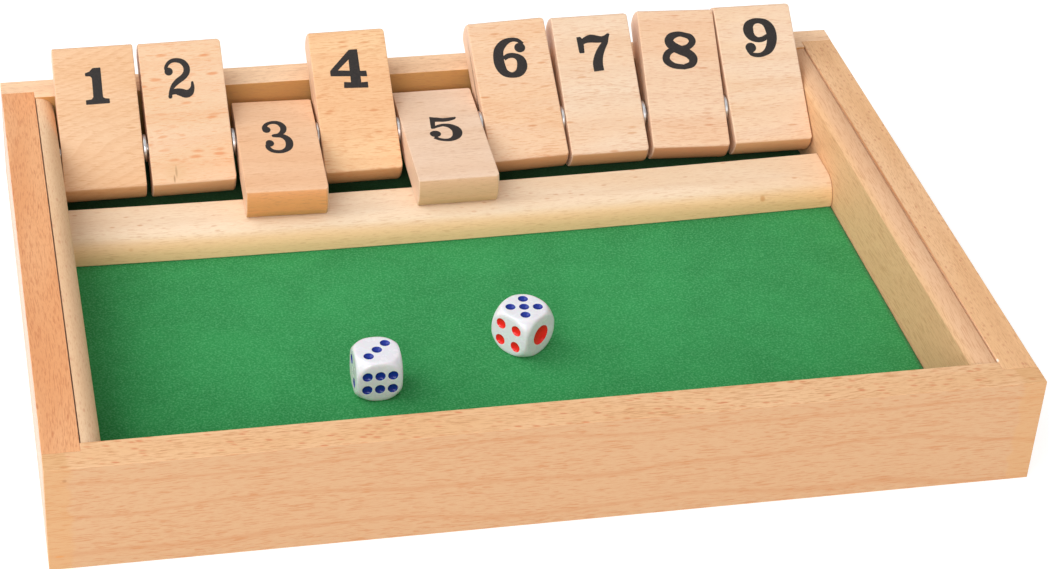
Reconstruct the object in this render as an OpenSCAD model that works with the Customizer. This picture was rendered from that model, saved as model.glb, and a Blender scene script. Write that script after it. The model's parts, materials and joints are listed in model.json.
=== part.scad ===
// Shut the box: a beech tray with nine flip tiles on a steel rod, a felt floor and a pair of dice.
// Millimetres. X runs left to right, Y front to back, Z up. The origin is under the middle of the box.

/* [Frame] */
// Outside width of the box, left to right
box_width = 285; // [260:1:310]
// Outside depth of the box, front to back
box_depth = 206; // [202:1:225]
// Height of the four rails
rail_height = 35; // [34.6:0.1:35.4]
// Thickness of the front and back rails
rail_thickness = 11; // [9:0.2:12]
// Thickness of the side rails
side_rail_thickness = 10.6; // [9:0.2:12]
// How far the side rails' ends sit into the front and back rails
corner_lap = 3.6; // [2:0.2:5]

/* [Floor] */
// Height of the floor panel's underside above the table
panel_lift = 4.6; // [3.6:0.2:4.6]
// Thickness of the floor panel
panel_thickness = 3.2; // [2.6:0.2:3.2]
// Depth of the groove in each rail that holds the floor panel
groove_depth = 4; // [2:0.5:5]
// Thickness of the felt
felt_thickness = 0.8; // [0.6:0.1:0.8]

/* [Liners and stop bar] */
// Thickness of the boards inside the side rails
liner_thickness = 6.1; // [5.9:0.1:8]
// Width of the rounded inner top edge of a liner
liner_round = 5.6; // [5:0.2:5.8]
// How far the rounded edge of a liner falls before it meets the upright face
liner_fall = 3.4; // [1:0.2:5]
// How far a liner's top lies below the rails' top
liner_drop = 0.4; // [0:0.1:1]
// Depth of the stop bar, front to back
bar_depth = 19.2; // [18:0.2:20]
// Height of the stop bar above the felt
bar_height = 9.3; // [8.8:0.1:9.6]
// Radius on the stop bar's front top edge
bar_round = 7; // [4:0.5:7]
// Distance from the rod's axis forward to the stop bar's back face
rod_to_bar = 21.8; // [21.4:0.2:22.4]

/* [Tiles] */
// Number of tiles
tile_count = 9; // [9]
// Thickness of a tile
tile_thickness = 10.2; // [9.6:0.1:10.6]
// Length from the rod's axis to the far end of a tile
tile_reach = 36.1; // [35:0.1:37]
// Length from the rod's axis to the near end of a tile
tile_tail = 16.2; // [15:0.1:16.5]
// How far the arched ends of a tile stand out beyond their creases
end_bulge = 1.5; // [1:0.1:2]
// Numbers of the tiles that lie shut
shut_tiles = [3, 5];
// Play left open at the left of each tile, and after the last one
tile_gaps = [0.2, 1.9, 1.8, 1.1, 1.4, 1.4, 1.4, 2.2, 1.6, 0.3];
// How much wider each tile was sawn than the others
tile_extras = [-0.1, 0.7, -0.1, -0.8, 0.1, 0, 0, -0.1, 0.4];
// How far each tile is drilled off square, in degrees seen on the face that is up when it is open
tile_skews = [0.2, 0.5, 1.8, 0.4, 0, 2, 0.2, -2.2, -0.2];

/* [Rod and washers] */
// Diameter of the rod
rod_diameter = 4; // [3:0.1:4.4]
// Radial play between the rod and a tile's bore
bore_play = 0.05; // [0.02:0.01:0.1]
// Height of the rod's axis above the felt
rod_above_felt = 17; // [17:0.1:17.4]
// Distance from the rod's axis back to the back rail
rod_to_back_rail = 21; // [20.4:0.1:22]
// Outer diameter of the washers between the tiles
washer_diameter = 9.2; // [7:0.2:9.4]
// Thickness of a washer where its gap has room for it
washer_thickness = 1.1; // [0.5:0.1:1.2]

/* [Dice] */
// Edge length of a die
die_size = 14; // [12:0.5:16]
// Depth of a die's small pips
pip_depth = 0.8; // [0.4:0.1:1]
// Middle of the left die on the felt
die_a_place = [-41.4, -44.6];
// Turn of the left die about the vertical
die_a_turn = 0; // [-45:1:45]
// Middle of the right die on the felt
die_b_place = [6.5, -29.2];
// Turn of the right die about the vertical
die_b_turn = -52; // [-90:1:0]

/* [Hidden] */

$fn = 64;
fit_gap = 0.2;       // play of the floor panel in its grooves
liner_gap = 0.3;     // shadow gap between a liner and its rail
felt_margin = 0.3;   // the felt is cut this much short on every side
rest_gap = 0.05;     // a leaning tile's distance from what it rests on
washer_play = 0.2;   // clearance between a washer and the tiles beside it
eps = 0.01;          // overlap that cuts cleanly through a face
beyond = 1;          // how far a cutter reaches past a face

inner_depth = box_depth - 2 * rail_thickness;
inner_width = box_width - 2 * side_rail_thickness;
side_rail_length = inner_depth + 2 * corner_lap;
liner_face = inner_width / 2 - liner_gap - liner_thickness;   // x of the right liner's inner face

felt_bottom = panel_lift + panel_thickness;
felt_top = felt_bottom + felt_thickness;
liner_top = rail_height - liner_drop;
liner_arc = (liner_round * liner_round + liner_fall * liner_fall) / (2 * liner_fall);

rod_y = inner_depth / 2 - rod_to_back_rail;
rod_z = felt_top + rod_above_felt;
rod_length = 2 * (liner_face + liner_thickness - liner_gap);

bar_back = rod_y - rod_to_bar;
bar_front = bar_back - bar_depth;
bar_top = felt_top + bar_height;

total_play = sum_to(tile_gaps, tile_count);
total_extra = sum_to(tile_extras, tile_count - 1);
tile_width = (2 * liner_face - total_play - total_extra) / tile_count;   // width of an ordinary tile
crease_reach = tile_reach - end_bulge;
crease_tail = tile_tail - end_bulge;
half_tile = tile_thickness / 2;
end_radius = (half_tile * half_tile + end_bulge * end_bulge) / (2 * end_bulge);

// An open tile leans on the inner top edge of the back rail
edge_rise = rail_height - rod_z;
open_angle = atan2(edge_rise, rod_to_back_rail)
    + asin((half_tile + rest_gap) / norm([rod_to_back_rail, edge_rise]));

// A shut tile rests on the stop bar, with its face on the bar's round or with its crease on the flat
round_centre = [rod_y - bar_front - bar_round, rod_z - bar_top + bar_round];
slope_on_round = atan2(round_centre[1], round_centre[0])
    - asin((half_tile + bar_round + rest_gap) / norm(round_centre));
slope_on_flat = asin((rod_z - bar_top - rest_gap) / norm([crease_reach, half_tile]))
    - atan2(half_tile, crease_reach);
shut_angle = 180 + max(slope_on_round, slope_on_flat);

die_corner = 0.684;       // the ball that rounds a die's corners, as a share of the die's size
die_edge = 0.666;         // the cylinders that round a die's edges, as a share of the die's size
pip_radius = 0.11 * die_size;
four_pip_radius = 0.125 * die_size;
one_pip_radius = 0.235 * die_size;
pip_step = 0.21 * die_size;
two_step = 0.18 * die_size;
six_column = 0.273 * die_size;
six_row = 0.168 * die_size;

// Sum of a list's entries from the first to the one numbered last
function sum_to(list, last) = last < 0 ? 0 : list[last] + sum_to(list, last - 1);

// Width of one tile; tiles are numbered from 1 at the left
function width_of(number) = tile_width + tile_extras[number - 1];

// Right side and middle of a tile along the rod
function tile_end(number) = sum_to(tile_gaps, number - 1) + sum_to(tile_extras, number - 1)
    + number * tile_width - liner_face;
function tile_x(number) = tile_end(number) - width_of(number) / 2;

function is_shut(number) = len([for (shut = shut_tiles) if (shut == number) shut]) > 0;

echo(tile_width = tile_width, open_angle = open_angle, shut_angle = shut_angle,
    travel = shut_angle - open_angle, rod_y = rod_y, rod_z = rod_z);

// Cut for the floor panel along the middle of the box
module panel_groove() {
    groove_width = inner_width + 2 * groove_depth;
    groove_length = inner_depth + 2 * groove_depth;
    translate([-groove_width / 2, -groove_length / 2, panel_lift])
        cube([groove_width, groove_length, panel_thickness]);
}

// Front or back rail: full width, with a rabbet at each end for the side rails
module long_rail(side) {
    difference() {
        translate([-box_width / 2, side > 0 ? inner_depth / 2 : -box_depth / 2, 0])
            cube([box_width, rail_thickness, rail_height]);
        for (end = [-1, 1])
            translate([end > 0 ? inner_width / 2 : -box_width / 2 - beyond, -side_rail_length / 2, -beyond])
                cube([side_rail_thickness + beyond, side_rail_length, rail_height + 2 * beyond]);
        panel_groove();
    }
}

module front_rail() {
    color("#dfb287") long_rail(-1);
}

module back_rail() {
    color("#d9a97f") long_rail(1);
}

// Side rail: its ends sit in the rabbets of the front and back rails
module side_rail(side) {
    difference() {
        translate([side > 0 ? inner_width / 2 : -box_width / 2, -side_rail_length / 2, 0])
            cube([side_rail_thickness, side_rail_length, rail_height]);
        panel_groove();
    }
}

module left_rail() {
    color("#dd9d6c") side_rail(-1);
}

module right_rail() {
    color("#ddb48c") side_rail(1);
}

module floor_panel() {
    width = inner_width + 2 * (groove_depth - fit_gap);
    length = inner_depth + 2 * (groove_depth - fit_gap);
    color("#c9a57c")
        translate([-width / 2, -length / 2, panel_lift])
            cube([width, length, panel_thickness]);
}

module felt() {
    width = 2 * (liner_face - felt_margin);
    length = inner_depth - 2 * felt_margin;
    color("#4f9a5f")
        translate([-width / 2, -length / 2, felt_bottom])
            cube([width, length, felt_thickness]);
}

// End view of the right liner: the flat arc on its inner top edge meets the upright face at a crease
module liner_outline() {
    height = liner_top - felt_bottom;
    translate([liner_face, felt_bottom]) {
        square([liner_thickness, height - liner_fall]);
        translate([liner_round, 0])
            square([liner_thickness - liner_round, height]);
        intersection() {
            translate([liner_round, height - liner_arc])
                circle(liner_arc);
            translate([0, height - liner_fall - eps])
                square([liner_round + eps, liner_fall + eps]);
        }
    }
}

// Board inside a side rail, with a hole for the rod
module liner(side) {
    rotate([90, 0, 0])
        translate([0, 0, -inner_depth / 2])
            difference() {
                linear_extrude(inner_depth)
                    on_side(side)
                        liner_outline();
                translate([side * (liner_face + liner_thickness / 2), rod_z, inner_depth / 2 - rod_y])
                    rotate([0, 90, 0])
                        cylinder(h = liner_thickness + 2 * beyond, d = rod_diameter, center = true);
            }
}

// The upper left quarter of a disc, slightly lapped over its straight sides
module quarter_disc(radius) {
    intersection() {
        circle(radius);
        translate([-radius, -eps])
            square(radius + eps);
    }
}

// Mirrors a right-hand outline to the left for side = -1
module on_side(side) {
    mirror([side < 0 ? 1 : 0, 0]) children();
}

module left_liner() {
    color("#e6cda9") liner(-1);
}

module right_liner() {
    color("#e3c296") liner(1);
}

// Bar across the tray on which the shut tiles rest
module stop_bar() {
    color("#ead2ad")
        translate([-liner_face, 0, 0])
            rotate([90, 0, 90])
                linear_extrude(2 * liner_face)
                    translate([bar_front, felt_top]) {
                        square([bar_depth, bar_height - bar_round]);
                        translate([bar_round, 0])
                            square([bar_depth - bar_round, bar_height]);
                        translate([bar_round, bar_height - bar_round])
                            quarter_disc(bar_round);
                    }
}

module pivot_rod() {
    color("#c9ccd0")
        translate([0, rod_y, rod_z])
            rotate([0, 90, 0])
                cylinder(h = rod_length, d = rod_diameter, center = true);
}

// Ring that is slack on the rod
module washer(thickness) {
    difference() {
        cylinder(h = thickness, d = washer_diameter);
        translate([0, 0, -beyond])
            cylinder(h = thickness + 2 * beyond, d = rod_diameter + 2 * fit_gap);
    }
}

// One washer in each gap between two tiles, thinner where the gap is narrow
module spacer_washers() {
    color("#b9bcc1")
        for (number = [1 : tile_count - 1])
            translate([tile_end(number) + washer_play, rod_y, rod_z])
                rotate([0, 90, 0])
                    washer(min(washer_thickness, tile_gaps[number] - 2 * washer_play));
}

// Side view of a tile about the rod's axis, long end along +X: flat faces and arched ends
module tile_outline() {
    translate([-crease_tail, -half_tile])
        square([crease_tail + crease_reach, tile_thickness]);
    intersection() {
        translate([tile_reach - end_radius, 0])
            circle(end_radius);
        translate([crease_reach - eps, -half_tile])
            square([end_bulge + beyond, tile_thickness]);
    }
    intersection() {
        translate([end_radius - tile_tail, 0])
            circle(end_radius);
        translate([-tile_tail - beyond, -half_tile])
            square([end_bulge + beyond + eps, tile_thickness]);
    }
}

// The bore follows the rod; the wood round it may be turned a little
module tile(number) {
    width = width_of(number);
    translate([tile_x(number), rod_y, rod_z])
        rotate([is_shut(number) ? shut_angle : open_angle, 0, 0])
            difference() {
                rotate([0, 0, tile_skews[number - 1]])
                    translate([-width / 2, 0, 0])
                        rotate([90, 0, 90])
                            linear_extrude(width)
                                tile_outline();
                rotate([0, 90, 0])
                    cylinder(h = width + 2 * beyond, d = rod_diameter + 2 * bore_play, center = true);
            }
}

// A pip of a die, as a shallow cone cut down from the face at +Z
module pip(radius, depth, x, y) {
    slope = radius / depth;
    translate([x, y, die_size / 2 - depth])
        cylinder(h = depth + eps, r1 = 0, r2 = radius + eps * slope);
}

module pips_one() {
    pip(one_pip_radius, 1.6 * pip_depth, 0, 0);
}

module pips_two() {
    for (step = [-two_step, two_step])
        pip(pip_radius, pip_depth, step, step);
}

module pips_three() {
    for (step = [-pip_step, 0, pip_step])
        pip(pip_radius, pip_depth, step, step);
}

module pips_four(radius) {
    for (x = [-pip_step, pip_step], y = [-pip_step, pip_step])
        pip(radius, pip_depth, x, y);
}

module pips_five() {
    pips_four(pip_radius);
    pip(pip_radius, pip_depth, 0, 0);
}

module pips_six() {
    for (x = [-six_column, 0, six_column], y = [-six_row, six_row])
        pip(pip_radius, pip_depth, x, y);
}

// Die about its own middle: one above, two at +X, three at +Y, opposite faces add up to seven
module die() {
    difference() {
        intersection() {
            cube(die_size, center = true);
            sphere(die_corner * die_size);
            crossing_cylinders(die_edge * die_size);
        }
        pips_one();
        rotate([0, 90, 0]) rotate([0, 0, 90]) pips_two();
        rotate([-90, 0, 0]) pips_three();
        rotate([90, 0, 0]) pips_four(four_pip_radius);
        rotate([0, -90, 0]) pips_five();
        rotate([180, 0, 0]) pips_six();
    }
}

// The space inside three crossing cylinders
module crossing_cylinders(radius) {
    intersection() {
        cylinder(h = 2 * die_size, r = radius, center = true);
        rotate([90, 0, 0]) cylinder(h = 2 * die_size, r = radius, center = true);
        rotate([0, 90, 0]) cylinder(h = 2 * die_size, r = radius, center = true);
    }
}

// Left die: three above, six in front
module die_a() {
    color("#eceef0")
        translate([die_a_place[0], die_a_place[1], felt_top + die_size / 2])
            rotate([0, 0, die_a_turn])
                rotate([90, 0, 180]) die();
}

// Right die: five above, four and one in front
module die_b() {
    color("#eceef0")
        translate([die_b_place[0], die_b_place[1], felt_top + die_size / 2])
            rotate([0, 0, die_b_turn])
                rotate([0, 90, 0]) die();
}

front_rail();
back_rail();
left_rail();
right_rail();
floor_panel();
felt();
left_liner();
right_liner();
stop_bar();
pivot_rod();
spacer_washers();
color("#eebf90") tile(1);  // tile_1
color("#f0c496") tile(2);  // tile_2
color("#ecb894") tile(3);  // tile_3
color("#f3c795") tile(4);  // tile_4
color("#e6c4a6") tile(5);  // tile_5
color("#f0c090") tile(6);  // tile_6
color("#f2cfa8") tile(7);  // tile_7
color("#f1c79b") tile(8);  // tile_8
color("#f0c69d") tile(9);  // tile_9
die_a();
die_b();
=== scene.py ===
import json
import math

import bmesh
import bpy
from mathutils import Euler, Matrix, Vector, geometry, noise


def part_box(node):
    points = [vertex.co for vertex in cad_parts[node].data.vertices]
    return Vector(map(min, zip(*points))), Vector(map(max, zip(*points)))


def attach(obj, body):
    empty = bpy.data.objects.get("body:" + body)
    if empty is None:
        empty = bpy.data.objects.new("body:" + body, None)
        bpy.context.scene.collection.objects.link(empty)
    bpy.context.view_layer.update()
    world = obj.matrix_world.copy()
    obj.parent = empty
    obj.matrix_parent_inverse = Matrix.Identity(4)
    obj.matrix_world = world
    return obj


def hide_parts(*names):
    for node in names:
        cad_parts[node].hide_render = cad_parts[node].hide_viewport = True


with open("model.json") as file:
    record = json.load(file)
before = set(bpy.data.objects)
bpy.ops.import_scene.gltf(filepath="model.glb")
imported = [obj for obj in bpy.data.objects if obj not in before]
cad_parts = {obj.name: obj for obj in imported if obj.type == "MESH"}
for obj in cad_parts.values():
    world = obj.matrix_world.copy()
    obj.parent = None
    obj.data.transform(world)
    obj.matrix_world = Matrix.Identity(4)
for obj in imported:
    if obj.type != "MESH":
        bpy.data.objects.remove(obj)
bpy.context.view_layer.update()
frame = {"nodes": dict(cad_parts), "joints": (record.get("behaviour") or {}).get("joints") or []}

mm = 0.001
scene = bpy.context.scene


def addObject(name, data):
    item = bpy.data.objects.new(name, data)
    scene.collection.objects.link(item)
    return item


def meshFrom(work, name, smooth=False):
    # turns a finished bmesh into a mesh
    mesh = bpy.data.meshes.new(name)
    work.to_mesh(mesh)
    work.free()
    mesh.polygons.foreach_set("use_smooth", [smooth] * len(mesh.polygons))
    return mesh


# Camera: seen from the front left and above, with a long lens as for a catalogue picture
cameraSet = {
    "place": (-0.15891, -0.65241, 0.47715),
    "turn": (55.082, -1.802, -10.412),  # degrees
    "lens": 89.39,
    "shift": (0.1134, 0.0027),
}


def makeCamera(s):
    data = bpy.data.cameras.new("camera")
    data.sensor_width = 36
    data.lens = s["lens"]
    data.shift_x, data.shift_y = s["shift"]
    data.clip_start = 0.01
    cam = addObject("camera", data)
    cam.location = s["place"]
    cam.rotation_euler = [math.radians(a) for a in s["turn"]]
    scene.camera = cam


makeCamera(cameraSet)
print("stage: camera")


# Small helpers for node trees
def addNode(tree, kind, place, **values):
    node = tree.nodes.new("ShaderNode" + kind)
    node.location = place
    for name, value in values.items():
        setattr(node, name, value)
    return node


def feed(socket, value):
    # links another node's output, or sets the value on the socket itself
    if isinstance(value, bpy.types.NodeSocket):
        socket.id_data.links.new(value, socket)
    elif socket.type == "RGBA":
        socket.default_value = (*value, 1)
    else:
        socket.default_value = value


def fill(node, values):
    for name, value in values.items():
        feed(node.inputs[name], value)
    return node


def operate(node, values):
    # the values go into the node's sockets from the first on
    for socket, value in zip(node.inputs, values):
        feed(socket, value)
    return node.outputs


def mathNode(tree, place, kind, *values):
    return operate(addNode(tree, "Math", place, operation=kind), values)["Value"]


def vectorNode(tree, place, kind, *values):
    result = "Value" if kind in ("LENGTH", "DOT_PRODUCT") else "Vector"
    return operate(addNode(tree, "VectorMath", place, operation=kind), values)[result]


def splitNode(tree, place, point, axis):
    # one coordinate of a point
    return fill(addNode(tree, "SeparateXYZ", place), {"Vector": point}).outputs[axis]


def rangeNode(tree, place, value, low, high, toLow=0.0, toHigh=1.0, smooth=True):
    node = addNode(tree, "MapRange", place, interpolation_type="SMOOTHSTEP" if smooth else "LINEAR")
    fill(node, {"Value": value, "From Min": low, "From Max": high, "To Min": toLow, "To Max": toHigh})
    return node.outputs["Result"]


def mixColour(tree, place, factor, a, b):
    node = addNode(tree, "Mix", place, data_type="RGBA")
    for k, value in zip((0, 6, 7), (factor, a, b)):  # the factor and the two colours among a Mix node's sockets
        feed(node.inputs[k], value)
    return node.outputs[2]


def bumpNode(tree, place, height, strength, depth, invert=False):
    node = addNode(tree, "Bump", place, invert=invert)
    return fill(node, {"Height": height, "Strength": strength, "Distance": depth * mm}).outputs[0]


def newGroup(name, inputs, outputs):
    tree = bpy.data.node_groups.new(name, "ShaderNodeTree")
    for label, kind, value in inputs:
        socket = tree.interface.new_socket(name=label, in_out="INPUT", socket_type="NodeSocket" + kind)
        if value is not None:
            socket.default_value = value
    for label in outputs:
        tree.interface.new_socket(name=label, in_out="OUTPUT", socket_type="NodeSocketFloat")
    start = tree.nodes.new("NodeGroupInput")
    start.location = (-1200, 0)
    end = tree.nodes.new("NodeGroupOutput")
    end.location = (900, 0)
    return tree, start, end


def newMaterial(name):
    # a new material, its tree, its shader and the output that gives the place on the piece
    mat = bpy.data.materials.new(name)
    mat.use_nodes = True
    tree = mat.node_tree
    return mat, tree, tree.nodes["Principled BSDF"], addNode(tree, "TexCoord", (-1500, 0)).outputs["Object"]


def colour(red, green, blue):
    # a colour as a picture editor shows it, 0 to 255, turned into the linear values of the shaders
    return tuple(((c / 255 + 0.055) / 1.055) ** 2.4 if c > 10 else c / 255 / 12.92 for c in (red, green, blue))


def tiltNode(tree, place, point, slope):
    # slants the lines of a figure: Y grows with X
    x, y = place
    slant = mathNode(tree, (x + 160, y), "MULTIPLY", splitNode(tree, place, point, "X"), slope)
    join = fill(addNode(tree, "CombineXYZ", (x + 320, y)), {"Y": slant})
    return vectorNode(tree, (x + 480, y), "ADD", point, join.outputs[0])


def faceNode(tree, place, normal, way):
    # how squarely a surface faces one way or the opposite way
    x, y = place
    size = mathNode(tree, (x + 160, y), "ABSOLUTE", vectorNode(tree, place, "DOT_PRODUCT", normal, way))
    return rangeNode(tree, (x + 320, y), size, 0.55, 0.95)


def noiseNode(tree, place, point, size, detail, output="Fac"):
    # noise whose lumps are about as large as the size given for each axis
    shrunk = vectorNode(tree, (place[0] - 180, place[1]), "DIVIDE", point, size)
    values = {"Vector": shrunk, "Scale": 1.0, "Detail": detail, "Roughness": 0.5}
    return fill(addNode(tree, "TexNoise", place), values).outputs[output]


def cloudNode(tree, place, point, scale, detail, rough=0.5, distortion=0.0):
    # even noise, with so many lumps to the metre
    values = {"Vector": point, "Scale": scale, "Detail": detail, "Roughness": rough, "Distortion": distortion}
    return fill(addNode(tree, "TexNoise", place), values).outputs["Fac"]


def dress(tree, shader, lumps, tones, rough, bump, mask=None):
    # colour, roughness and relief that follow one noise; bump is its strength and its depth in millimetres
    fill(shader, {
        "Base Color": mixColour(tree, (-300, 150), lumps if mask is None else mask, *tones),
        "Roughness": rangeNode(tree, (-300, -100), lumps, 0.3, 0.7, *rough),
        "Normal": bumpNode(tree, (-300, -300), lumps, *bump)})


# Beech: grain along X of the vector that comes in, in metres
def makeBeechGroup():
    tree, start, end = newGroup(
        "beechGrain",
        [("Vector", "Vector", None), ("Normal", "Vector", None),
         ("Dash Size", "Vector", (2.6, 0.4, 0.4)), ("Dash Share", "Float", 0.5),
         ("Fleck Cell", "Vector", (7, 1.3, 1.3)), ("Fleck Share", "Float", 0.3), ("Fleck Tilt", "Float", 0.0),
         ("Fleck Face", "Vector", (0, 0, 1)),
         ("Ring Width", "Float", 9.0), ("Ring Wander", "Float", 0.6), ("Ring Tilt", "Float", 0.0),
         ("Ring Start", "Float", 0.35)],
        ("Dash", "Fleck", "Ring", "Pore", "Tone", "End", "Side"))
    given = start.outputs
    inMm = vectorNode(tree, (-1000, 200), "MULTIPLY", given["Vector"], (1000, 1000, 1000))

    # the whole figure bends gently, so no line runs dead straight
    drift = noiseNode(tree, (-800, 700), inMm, (70, 30, 30), 1.0, "Color")
    point = vectorNode(tree, (-620, 700), "MULTIPLY_ADD", drift, (0, 5.0, 5.0), inMm)

    # rings seen where the board cuts them
    flat = vectorNode(tree, (-420, 460), "MULTIPLY", tiltNode(tree, (-1060, 460), point, given["Ring Tilt"]),
                      (0.03, 1, 1))
    radius = vectorNode(tree, (-260, 460), "LENGTH", flat)
    drift = mathNode(tree, (-100, 600), "MULTIPLY", noiseNode(tree, (-260, 640), point, (90, 24, 24), 1.0), 10)
    drift = mathNode(tree, (60, 600), "MULTIPLY", drift, given["Ring Wander"])
    rings = mathNode(tree, (60, 460), "ADD", radius, drift)
    rings = mathNode(tree, (220, 460), "DIVIDE", rings, given["Ring Width"])
    rings = mathNode(tree, (380, 460), "FRACT", rings)
    late = rangeNode(tree, (540, 520), rings, given["Ring Start"], 0.93)
    edge = rangeNode(tree, (540, 360), rings, 0.93, 1.0, 1.0, 0.0)

    # thin short dashes all over, thicker in some patches than in others
    patches = noiseNode(tree, (-420, 200), point, (28, 7, 7), 2.0)
    patches = rangeNode(tree, (-260, 200), patches, 0.3, 0.7, -0.03, 0.03, False)
    share = mathNode(tree, (-260, 60), "MULTIPLY", given["Dash Share"], 0.16)
    lumps = noiseNode(tree, (-420, -60), point, given["Dash Size"], 2.0)
    lumps = mathNode(tree, (-100, 60), "ADD", mathNode(tree, (-260, -60), "ADD", lumps, patches), share)

    # larger lens-shaped flecks, one in some of the cells
    cells = vectorNode(tree, (-320, -200), "DIVIDE", tiltNode(tree, (-960, -200), point, given["Fleck Tilt"]),
                       given["Fleck Cell"])
    speck = fill(addNode(tree, "TexVoronoi", (-160, -200)), {"Vector": cells, "Scale": 1.0, "Randomness": 1.0})
    lens = rangeNode(tree, (20, -160), speck.outputs["Distance"], 0.12, 0.34, 1.0, 0.0)
    chance = fill(addNode(tree, "SeparateXYZ", (20, -320)), {"Vector": speck.outputs["Color"]}).outputs
    some = mathNode(tree, (200, -240), "LESS_THAN", chance["X"], given["Fleck Share"])
    depth = rangeNode(tree, (200, -400), chance["Y"], 0.0, 1.0, 0.35, 1.0, False)
    lens = mathNode(tree, (380, -200), "MULTIPLY", lens, some)
    lens = mathNode(tree, (380, -360), "MULTIPLY", lens,
                    faceNode(tree, (-160, -440), given["Normal"], given["Fleck Face"]))

    # fine pores, drawn out along the grain, and broad changes of tone over the board
    pores = noiseNode(tree, (-420, -560), point, (1.6, 0.22, 0.22), 3.0)
    tone = noiseNode(tree, (-420, -760), point, (60, 12, 12), 2.0)

    fill(end, {
        "Ring": mathNode(tree, (700, 460), "MULTIPLY", late, edge),
        "Dash": rangeNode(tree, (60, 60), lumps, 0.61, 0.72),
        "Fleck": mathNode(tree, (540, -200), "MULTIPLY", lens, depth),
        "Pore": rangeNode(tree, (-100, -560), pores, 0.35, 0.7),
        "Tone": rangeNode(tree, (-100, -760), tone, 0.3, 0.7),
        "End": faceNode(tree, (-420, -960), given["Normal"], (1, 0, 0)),  # the cut ends of the fibres
        "Side": faceNode(tree, (-420, -1120), given["Normal"], (0, 1, 0))})
    return tree


beechGroup = makeBeechGroup()


def stained(tree, point, base, s):
    # glue has soaked into the wood beyond this distance from the middle, with an uneven border
    reach = mathNode(tree, (-440, 560), "ABSOLUTE", splitNode(tree, (-600, 560), point, "X"))
    uneven = cloudNode(tree, (-600, 400), point, 260, 3.0)
    uneven = rangeNode(tree, (-440, 400), uneven, 0.3, 0.7, -s["uneven"] * mm, s["uneven"] * mm, False)
    reach = mathNode(tree, (-280, 560), "ADD", reach, uneven)
    soaked = rangeNode(tree, (-120, 560), reach, s["start"] * mm, s["full"] * mm, 0.0, s["depth"])
    return mixColour(tree, (40, 400), soaked, base, colour(*s["tone"]))


def marked(tree, point, base, marks):
    # small flaws, and also painted shade and painted highlights: middle and half size on the three axes in
    # millimetres, tone and depth
    for i, (middle, reach, tone, depth) in enumerate(marks):
        row = 800 + 220 * i
        away = vectorNode(tree, (-600, row), "SUBTRACT", point, [c * mm for c in middle])
        shrunk = vectorNode(tree, (-440, row), "DIVIDE", away, [c * mm for c in reach])
        size = vectorNode(tree, (-280, row), "LENGTH", shrunk)
        inside = rangeNode(tree, (-120, row), size, 0.3, 1.0, depth, 0.0)
        base = mixColour(tree, (40, row), inside, base, colour(*tone))
    return base


# What a piece of wood has unless its own settings say otherwise
woodSet = {
    "turn": (0, 0, 0), "fleckTilt": 0.0, "fleckFace": (0, 0, 1), "ringTilt": 0.0, "ringStart": 0.35,
    "poreDepth": 0.14, "endDepth": 0.6, "rough": 0.45, "marks": (), "stain": None,
}
woodSockets = ("Dash Size", "Dash Share", "Fleck Cell", "Fleck Share", "Fleck Tilt", "Fleck Face",
               "Ring Width", "Ring Wander", "Ring Tilt", "Ring Start")


def makeBeech(name, own):
    s = {**woodSet, **own}
    mat, tree, shader, where = newMaterial(name)
    turn = [math.radians(a) for a in s["turn"]]
    facing = addNode(tree, "Mapping", (-1300, -250), vector_type="NORMAL")
    fill(facing, {"Vector": where.node.outputs["Normal"], "Rotation": turn})
    place = fill(addNode(tree, "Mapping", (-1300, 100)), {"Vector": where, "Rotation": turn, "Location": s["from"]})
    grain = addNode(tree, "Group", (-1050, 0), node_tree=beechGroup)
    fill(grain, {"Vector": place.outputs[0], "Normal": facing.outputs[0]})
    for label in woodSockets:  # a setting is named as its socket is: dashSize for Dash Size
        feed(grain.inputs[label], s[label[0].lower() + label[1:].replace(" ", "")])
    out = grain.outputs
    tones = {key: colour(*s[key]) for key in ("pale", "warm", "side", "dash", "fleck", "endTone")}
    base = mixColour(tree, (-960, 200), out["Tone"], tones["pale"], tones["warm"])
    # faces turned along Y get the side tone: partly the wood's own tone, partly painted light and shade for how these
    # faces are lit
    base = mixColour(tree, (-800, 200), out["Side"], base, tones["side"])
    layers = (("Ring", "ringDepth", "dash"), ("Pore", "poreDepth", "dash"), ("Dash", "dashDepth", "dash"),
              ("Fleck", "fleckDepth", "fleck"), ("End", "endDepth", "endTone"))
    for i, (layer, depth, tone) in enumerate(layers):
        amount = mathNode(tree, (-620 + 160 * i, -100), "MULTIPLY", out[layer], s[depth])
        base = mixColour(tree, (-620 + 160 * i, 200), amount, base, tones[tone])
    base = marked(tree, where, base, s["marks"])
    if s["stain"]:
        base = stained(tree, where, base, s["stain"])
    relief = mathNode(tree, (-620, -500), "ADD", out["Dash"], out["Pore"])
    fill(shader, {
        "Base Color": base, "Specular IOR Level": 0.3,
        "Roughness": rangeNode(tree, (-200, -300), out["Pore"], 0.0, 1.0, s["rough"], s["rough"] + 0.12, False),
        "Normal": bumpNode(tree, (-200, -500), relief, 0.35, 0.04, True)})
    return mat


def easeWeights(work, edge, turnEdges, corners):
    # how strongly each edge is eased; the corners are where the left and right sides meet the ends that face one way
    way, left, right = corners or (Vector((0, 0, 1)), edge, edge)
    size = max(edge, left, right)
    layer = work.edges.layers.float.new("bevel_weight_edge")
    for line in work.edges:
        if len(line.link_faces) != 2 or line.calc_face_angle() < math.radians(turnEdges):
            continue
        sideways = max((face.normal.x for face in line.link_faces), key=abs)
        endways = max(abs(face.normal.dot(way)) for face in line.link_faces)
        width = edge
        if corners and abs(sideways) > 0.9 and endways > 0.7:  # within 25 and 45 degrees of square
            width = right if sideways > 0 else left
        line[layer] = width / size
    return size


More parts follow.
